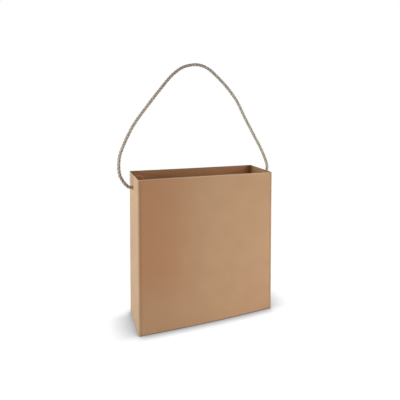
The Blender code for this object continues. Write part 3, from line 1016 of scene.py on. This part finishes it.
def evenly(points, spacing):
    """The same line in steps of one length."""
    walked = lengths_along(points)
    places = np.linspace(0, walked[-1], round(walked[-1] / spacing) + 1)
    return np.stack([np.interp(places, walked, points[:, axis]) for axis in range(3)], 1)


def directions(rows):
    """The same vectors at a length of 1."""
    return rows / np.linalg.norm(rows, axis=1, keepdims=True)


def tied_knot():
    """An overhand knot drawn tight against the wall at KNOT_WALL, from its tail to its lead along +X."""
    turn = np.linspace(-KNOT_ENDS, KNOT_ENDS, KNOT_SAMPLES)
    loose = np.stack([9 * (turn ** 3 - 3 * turn), 6 * (turn ** 4 - 4 * turn ** 2), turn ** 5 - 10 * turn], 1)
    loose = evenly(loose * ROPE_DIAMETER / 6, ROPE_DIAMETER / 2)
    points = loose - loose.mean(0)
    count = len(points)
    apart = np.abs(np.arange(count)[:, None] - np.arange(count)[None])
    rest = np.linalg.norm(np.diff(points, axis=0), axis=1).mean()
    goal = (2 * KNOT_LEAD + KNOT_SPARE) / (count - 1)
    for _ in range(KNOT_PULLS):
        rest += (goal - rest) * KNOT_PULL
        neighbours = int(KNOT_NEAR / rest)
        for _ in range(KNOT_ROUNDS):
            kink = (points[:-2] + points[2:]) / 2 - points[1:-1]
            points[1:-1] += KNOT_SMOOTHING * kink
            points[2:-2] -= KNOT_STIFFNESS * (kink[:-2] + kink[2:])
            step = np.diff(points, axis=0)
            length = np.linalg.norm(step, axis=1, keepdims=True)
            slack = step / length * (length - rest) * KNOT_SLACK
            points[:-1] += slack
            points[1:] -= slack
            gaps = points[:, None] - points[None]
            distance = np.linalg.norm(gaps, axis=2)
            one, other = np.where((distance < ROPE_DIAMETER) & (apart > neighbours))
            near = distance[one, other][:, None]
            np.add.at(points, one, gaps[one, other] / near * (ROPE_DIAMETER - near) * KNOT_PARTING)
            outside = points[:, 0] > KNOT_WALL
            points[outside, 1:] *= KNOT_CENTRING
            wide = ~outside & (np.linalg.norm(points[:, 1:], axis=1) > KNOT_BORE)
            points[wide, 0] = np.minimum(points[wide, 0], KNOT_WALL - ROPE_DIAMETER / 2)
            points[0] = (-KNOT_LEAD, 0, 0)
            points[-1] = (KNOT_LEAD, 0, 0)
    return points


def rope_line():
    """The rope's whole centre line from tail to tail, and where its free span starts and ends."""
    knot = smooth_line(tied_knot(), ROPE_STEP)
    core = knot[np.linalg.norm(knot[:, 1:], axis=1) > LEAD_REACH]
    tail_end = core[:, 0].min() - ROPE_DIAMETER / 2 - TAIL_LENGTH
    knot = knot[(knot[:, 0] > tail_end) & (knot[:, 0] < KNOT_WALL - ROPE_STEP / 2)]
    inward, level, upward = KNOT_WALL - knot[:, 0], knot[:, 2], HOLE_HEIGHT + knot[:, 1]
    left = np.stack([-INNER_HALF_WIDTH - FIT_GAP + inward, HOLE_Y + level, upward], 1)
    right = np.stack([INNER_HALF_WIDTH + FIT_GAP - inward, HOLE_Y - level, upward], 1)[::-1]
    route = [(x, HOLE_Y, z) for x, z in ROPE_ROUTE]
    span = np.vstack([[route[0]], smooth_line(route, ROPE_STEP), [route[-1]]])
    span = evenly(span, ROPE_STEP)
    return np.vstack([left, span, right]), len(left), len(left) + len(span)


def carried_frames(line):
    """A direction across the rope at every point, carried along without twisting."""
    ahead = directions(np.gradient(line, axis=0))
    across = np.zeros_like(line)
    side = Vector((0, 1, 0))
    for index, direction in enumerate(ahead):
        direction = Vector(direction)
        side = (side - direction * side.dot(direction)).normalized()
        across[index] = side
    return ahead, across


def make_strands(name, line, ahead, across, walked, material):
    """Three strands laid round a part of the rope's line, as one piece."""
    shape = bmesh.new()
    flat = shape.loops.layers.uv.new("flat")
    groove = shape.verts.layers.float.new("groove")
    upright = np.cross(ahead, across)
    for strand in range(3):
        phase = math.tau * (walked / ROPE_LAY + strand / 3)
        out = across * np.cos(phase)[:, None] + upright * np.sin(phase)[:, None]
        centre = line + out * STRAND_OFFSET
        along = directions(np.gradient(centre, axis=0))
        out = directions(out - along * (out * along).sum(1)[:, None])
        side = np.cross(along, out)
        made = bmesh.ops.create_grid(shape, x_segments=len(line) - 1, y_segments=STRAND_SIDES, size=0.5)
        for vert in made["verts"]:
            ring = grid_index(vert.co.x, len(line))
            for loop in vert.link_loops:
                loop[flat].uv = (walked[ring], vert.co.y + 0.5 + strand)
            angle = (vert.co.y + 1) * math.tau
            squeeze = 1 + STRAND_SQUEEZE * math.sin(angle) ** 2
            spoke = out[ring] * math.cos(angle) + side[ring] * math.sin(angle) * squeeze
            vert.co = centre[ring] + spoke * STRAND_RADIUS
            # How far the point faces the other strands: where the painted shade of the grooves goes
            vert[groove] = min(1, max(0, GROOVE_START - GROOVE_SWING * math.cos(angle)) ** GROOVE_CURVE)
    bmesh.ops.remove_doubles(shape, verts=shape.verts, dist=WELD)
    ends = [edge for edge in shape.edges if edge.is_boundary]
    bmesh.ops.edgeloop_fill(shape, edges=ends)
    add_hairs(shape, line, ahead, across, walked)
    bmesh.ops.recalc_face_normals(shape, faces=shape.faces)
    return new_piece(name, shape, "handle", [material])


def add_hairs(shape, line, ahead, across, walked):
    """Loose fibre ends that stand off the rope here and there, each a thin closed sliver."""
    flat = shape.loops.layers.uv["flat"]
    chance = np.random.default_rng(len(line))
    count = round(len(line) * HAIRS_PER_STEP)
    rings = chance.integers(2, len(line) - 2, count)
    turned = chance.uniform(0, math.tau, count)[:, None]
    out = across[rings] * np.cos(turned) + np.cross(ahead[rings], across[rings]) * np.sin(turned)
    side = np.cross(ahead[rings], out)
    lean = ahead[rings] * chance.choice((-1, 1), count)[:, None]
    lean = lean + side * chance.uniform(-HAIR_LEAN, HAIR_LEAN, count)[:, None]
    length = chance.uniform(*HAIR_LENGTHS, count)
    height = chance.uniform(*HAIR_HEIGHTS, count)
    columns = HAIR_STEPS * count
    made = bmesh.ops.create_grid(shape, x_segments=columns - 1, y_segments=3, size=0.5)["verts"]
    hairs = {vert: divmod(grid_index(vert.co.x, columns), HAIR_STEPS) for vert in made}
    faces = {face for vert in made for face in vert.link_faces}
    between = [face for face in faces if len({hairs[vert][0] for vert in face.verts}) > 1]
    bmesh.ops.delete(shape, geom=between, context="FACES_ONLY")
    for vert, (hair, step) in hairs.items():
        share, turn = step / (HAIR_STEPS - 1), (vert.co.y + 0.5) * math.tau
        for loop in vert.link_loops:
            loop[flat].uv = (walked[rings[hair]] + share * HAIR_FLAT_LENGTH, turn / math.tau)
        thick = HAIR_RADIUS * (1 - share) if step else 0
        root = ROPE_DIAMETER * HAIR_ROOT + height[hair] * math.sin(math.pi * share * HAIR_ARC)
        ring = out[hair] * (root + math.cos(turn) * thick) + side[hair] * math.sin(turn) * thick
        vert.co = line[rings[hair]] + ring + lean[hair] * length[hair] * share
    bmesh.ops.remove_doubles(shape, verts=[vert for vert in made if vert.is_valid], dist=CUT_WELD)
    bmesh.ops.delete(shape, geom=[edge for edge in shape.edges if not edge.link_faces], context="EDGES")


def make_rope(material):
    """The handle: one three-strand rope from knot to knot, with its two stopper knots inside the bag."""
    line, first, last = rope_line()
    ahead, across = carried_frames(line)
    walked = lengths_along(line)
    parts = {}
    for name, start, end in (
        ("left_stopper_knot", 0, first + 1),
        ("rope", first, last),
        ("right_stopper_knot", last - 1, len(line)),
    ):
        part = slice(start, end)
        parts[name] = make_strands(name, line[part], ahead[part], across[part], walked[part], material)
    knots = [parts["left_stopper_knot"], parts["right_stopper_knot"]]
    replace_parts(parts["rope"], "rope_handle")
    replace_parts(knots[0], "left_knot")
    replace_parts(knots[1], "right_knot")


# Studio

def make_floor():
    """A wide pale floor, seen as white, whose soft shadow round the bag is painted into its glow from how
    near the bag is, widest at the bag's sides.
    """
    finish = Finish("pale_floor", 1.0, Base_Color=(*FLOOR_GREY, 1), Specular_IOR_Level=0.0)
    wide, tight = (
        finish.node("ShaderNodeAmbientOcclusion", {"samples": SHADE_SAMPLES}, {"Distance": reach}, output=1)
        for reach in (SHADOW_REACH, CONTACT_REACH)
    )
    along = finish.axis(finish.place, "Y")
    beside = along.between(*SHADOW_FRONT) * (1 - along.between(*SHADOW_BACK))
    shade = ((1 - wide) * SHADOW_SHARE * beside).math("MAXIMUM", CONTACT_SHARE - tight * CONTACT_FADE)
    inputs = {"Color": finish.blend(shade, WHITE, SHADOW), "Strength": FLOOR_GLOW}
    glow = finish.node("ShaderNodeEmission", {}, inputs)
    finish.show_white(Value(finish, finish.surface.outputs[0]), glow, FLOOR_WHITE_SHARE)
    shape = bmesh.new()
    bmesh.ops.create_grid(shape, x_segments=1, y_segments=1, size=FLOOR_REACH)
    bmesh.ops.translate(shape, verts=shape.verts, vec=(0, 0, -FLOOR_DROP))
    add_mesh("floor", shape, [finish.material])


def area_lamp(name, place, target, size, power, colour=WHITE):
    """A large soft lamp that faces a point."""
    data = bpy.data.lights.new(name, "AREA")
    data.shape = "RECTANGLE"
    data.size, data.size_y = size
    data.energy = power
    data.color = colour
    lamp = add_object(name, data)
    lamp.location = place
    lamp.rotation_euler = (Vector(target) - Vector(place)).to_track_quat("-Z", "Y").to_euler()


def light_studio():
    """A white room that gives little light, with soft lamps at the left, right, foot, top and rear."""
    world = bpy.data.worlds.new("white_room")
    world.use_nodes = True
    bpy.context.scene.world = world
    room = Nodes(world.node_tree)
    room.tree.nodes.remove(room.tree.nodes["Background"])
    dim, white = (
        room.node("ShaderNodeBackground", {}, {"Color": (*WHITE, 1), "Strength": strength})
        for strength in (ROOM_LIGHT, 1.0)
    )
    room.show_white(dim, white, 1)
    for name, settings in LAMPS.items():
        area_lamp(name, *settings)


aim_camera()
make_rope(twisted_fibre())
# The inner paper's colour near folds and the foot is a dark brown: painted shade in its creases
inner_paper = kraft_liner(
    "inner_kraft",
    light=(0.765, 0.384, 0.184),
    dark=(0.632, 0.308, 0.144),
    wear_and_shade_colour=(0.16, 0.06, 0.02),
    gloss=0.15,
    score_shade_strength=0.35,
    corner_shade=0.68,
)
outer_paper = kraft_liner(
    "outer_kraft",
    light=(0.560, 0.334, 0.183),
    dark=(0.468, 0.275, 0.146),
    wear_and_shade_colour=(0.66, 0.47, 0.30),
    gloss=0.3,
    score_shade_strength=0.24,
    corner_shade=0,
)
make_walls(outer_paper, inner_paper, flute_paper())
make_base([inner_paper, cut_edge(), outer_paper])
make_floor()
light_studio()
bpy.context.scene.view_settings.view_transform = "Standard"
